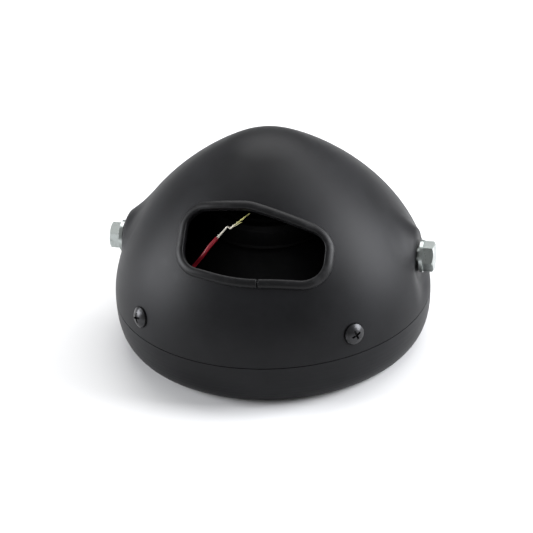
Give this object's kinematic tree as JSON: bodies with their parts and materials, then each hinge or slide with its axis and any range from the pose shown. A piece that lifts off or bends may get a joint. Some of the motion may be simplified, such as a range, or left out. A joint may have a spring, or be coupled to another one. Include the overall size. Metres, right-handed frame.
{
  "type": "motorcycle headlight",
  "caption": "Round bullet-shaped motorcycle headlight: moulded shell with a rubber-edged wiring opening, trim ring, lens, reflector, bulb and side mounting bolts.",
  "frame": {"origin": "centre of the trim ring's front edge, on the surface that the lamp stands on lens down", "axes": "+Z points from the lens to the tip of the shell, the wiring opening faces -Y, the side bolts lie along X"},
  "size_m": [0.1638, 0.158, 0.1067],
  "materials": {
    "shell_plastic": "fine moulded texture",
    "ring_plastic": "fine moulded texture",
    "edge_rubber": "satin extruded rubber",
    "zinc_plate": "bright zinc plate",
    "black_screw": "black satin",
    "lens_glass": "clear fluted glass",
    "seal_rubber": "matt rubber",
    "reflector_metal": "pressed, bright inside",
    "spring_steel": "spring steel",
    "bulb_metal": "plated",
    "bulb_glass": "clear",
    "plug_plastic": "moulded",
    "wire_insulation": "soft vinyl",
    "bare_strands": "tinned and bare copper strands"
  },
  "bodies": {
    "root": {"shell": "shell_plastic", "bezel": "ring_plastic", "opening_trim": "edge_rubber", "side_bolt_left": "zinc_plate", "side_bolt_right": "zinc_plate", "side_washer_left": "zinc_plate", "side_washer_right": "zinc_plate", "side_nut_left": "zinc_plate", "side_nut_right": "zinc_plate", "rim_screw_left": "black_screw", "rim_screw_right": "black_screw", "rim_nut_left": "zinc_plate", "rim_nut_right": "zinc_plate", "lens": "lens_glass", "lens_gasket": "seal_rubber", "reflector": "reflector_metal", "unit_clip_left": "spring_steel", "unit_clip_right": "spring_steel", "unit_clip_lower": "spring_steel", "unit_clip_upper": "spring_steel", "bulb_base": "bulb_metal", "bulb_glass": "bulb_glass", "bulb_spring": "spring_steel", "dust_boot": "seal_rubber", "bulb_plug": "plug_plastic", "red_wire": "wire_insulation", "red_wire_strands": "bare_strands"}
  },
  "joints": []
}
